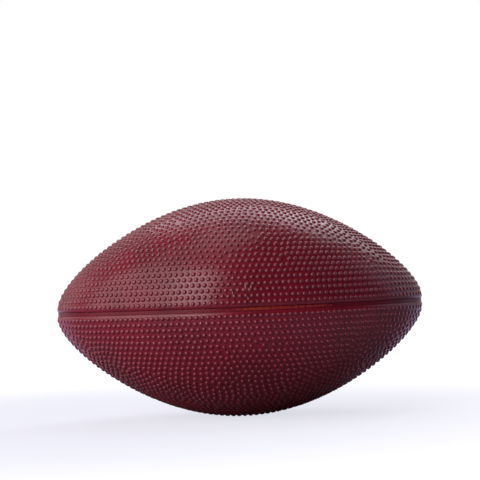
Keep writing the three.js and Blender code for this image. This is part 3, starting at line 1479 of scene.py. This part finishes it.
@dataclass(frozen=True)
class Studio:
    """Camera, floor, backdrop and lamps, in metres."""

    lens: float = 136.7
    camera_place: tuple[float, float, float] = (0.0009, -0.845, 0.019)
    pitch: float = 0.81
    roll: float = 2.4
    floor_z: float = -0.0504
    floor_reach: float = 6.0
    # A painted shadow on the floor, seen by the camera: its colour, its strength and its reach.
    painted_shadow_colour: Colour = (0.88, 0.875, 0.96)
    painted_shadow_strength: float = 0.8
    painted_shadow_limits: tuple[float, float] = (0.08, 0.42)
    lit_colour: Colour = (0.2, 0.2, 0.22)
    shadow_side: float = 0.09
    # Painted light on the floor, seen by other rays: its colour and its glows.
    cast_colour: Colour = (0.68, 0.62, 1.0)
    floor_glow: float = 0.15
    glow_limits: tuple[float, float] = (0.05, 0.16)
    rear_floor_glow: float = 0.8
    rear_glow_limits: tuple[float, float] = (0.07, 0.12)
    behind_limits: tuple[float, float] = (0.01, 0.07)
    front_mirrored: float = 0.02
    rear_mirrored: float = 0.55
    mirrored_limits: tuple[float, float] = (-0.1, 0.5)
    fill: float = 0.06

    def make(self) -> None:
        """Sets the whole studio up."""
        self.make_camera()
        self.make_floor()
        self.make_world()
        for lamp in LAMPS:
            lamp.make()
        bpy.context.scene.view_settings.view_transform = "Standard"

    def make_camera(self) -> None:
        """Sets a camera in front of the ball, rolled so that the right tip stands higher."""
        camera = bpy.data.cameras.new("camera")
        camera.lens = self.lens
        holder = put_in_scene("camera", camera)
        holder.location = self.camera_place
        holder.rotation_euler = (QUARTER_TURN + math.radians(self.pitch), math.radians(self.roll), 0.0)
        bpy.context.scene.camera = holder

    def make_floor(self) -> None:
        """Lays the floor.

        The camera sees a glow: white further off, and dimmer pale lavender near a place to the left of
        the ball as a painted shadow, besides the ball's own shadow in the lit colour. Other rays see the
        cast glow instead, painted light on the floor: a faint one round the ball, with none right under it
        as painted shade, and a stronger one behind it.
        """
        reach, z = self.floor_reach, self.floor_z
        mesh = bpy.data.meshes.new("studio_floor")
        corners = [(-reach, -reach, z), (reach, -reach, z), (reach, reach, z), (-reach, reach, z)]
        mesh.from_pydata(corners, [], [(0, 1, 2, 3)])
        floor = put_in_scene("studio_floor", mesh)
        material, board = new_material("pale_floor")
        place = board.place()
        seen = board.add("ShaderNodeLightPath").outputs["Is Camera Ray"]

        # Painted shadow: to the camera the floor is dimmer and lavender near a place left of the ball.
        beside = board.vector_math("ADD", place, (self.shadow_side, 0.0, 0.0)).outputs[0]
        out_of_painted_shadow = board.ramp(board.vector_math("LENGTH", beside).outputs["Value"], *self.painted_shadow_limits)
        colour = board.blend(out_of_painted_shadow, rgba(self.painted_shadow_colour), rgba(WHITE))
        shown = board.times(seen, board.ramp(out_of_painted_shadow, 0.0, 1.0, self.painted_shadow_strength, 1.0))

        # Painted light for reflections and bounce: none right under the ball as painted shade, a faint glow
        # round it, a stronger one behind it.
        away = board.vector_math("LENGTH", place).outputs["Value"]
        behind = board.add("ShaderNodeSeparateXYZ", {0: place}).outputs["Y"]
        near_glow = board.ramp(away, *self.glow_limits, 0.0, self.floor_glow)
        rear_ramp = board.ramp(behind, *self.behind_limits, 0.0, self.rear_floor_glow)
        rear_glow = board.times(rear_ramp, board.ramp(away, *self.rear_glow_limits))
        cast = board.times(board.math("SUBTRACT", 1.0, seen), board.plus(near_glow, rear_glow))

        glows = board.sum_of(board.emission(colour, shown), board.emission(rgba(self.cast_colour), cast))
        lit = board.add("ShaderNodeBsdfDiffuse", {"Color": rgba(self.lit_colour)}).outputs[0]
        board.finish(board.sum_of(lit, glows))
        floor.data.materials.append(material)

    def make_world(self) -> None:
        """Makes the backdrop: white to the camera, graded in reflections, and dim to the rest."""
        world = bpy.data.worlds.new("studio")
        bpy.context.scene.world = world
        world.use_nodes = True
        board = Board(world.node_tree)
        ways = board.add("ShaderNodeLightPath").outputs
        towards = board.add("ShaderNodeTexCoord").outputs["Generated"]
        behind = board.add("ShaderNodeSeparateXYZ", {0: towards}).outputs["Y"]
        graded = board.ramp(behind, *self.mirrored_limits, self.front_mirrored, self.rear_mirrored)
        share = board.math("MAXIMUM", ways["Is Glossy Ray"], ways["Is Transmission Ray"])
        mirrored = board.times(share, graded)
        dim = board.times(board.math("SUBTRACT", 1.0, share), self.fill)
        strength = board.math("MAXIMUM", ways["Is Camera Ray"], board.plus(mirrored, dim))
        glow = board.add("ShaderNodeBackground", {"Color": rgba(WHITE), "Strength": strength})
        board.add("ShaderNodeOutputWorld", {"Surface": glow.outputs[0]})


def main() -> None:
    """Builds every piece and the studio."""
    logging.basicConfig(level=logging.INFO, format="%(name)s %(message)s")
    mottling, grain = mottling_group(), grain_group()
    form = BallForm()
    skin = Skin(form, SKIN_FINISH.material(mottling, grain))
    skin.make()
    MouldMarks(skin.chart, skin.finish).make()
    Strips(form, STRIP_FINISH.material(mottling, grain)).make()
    GlueLine(form, GLUE_FILM.material(), SET_GLUE.material()).make()
    FoamCore(form, FoamFinish().material()).make()
    Studio().make()


if __name__ == "__main__":
    main()
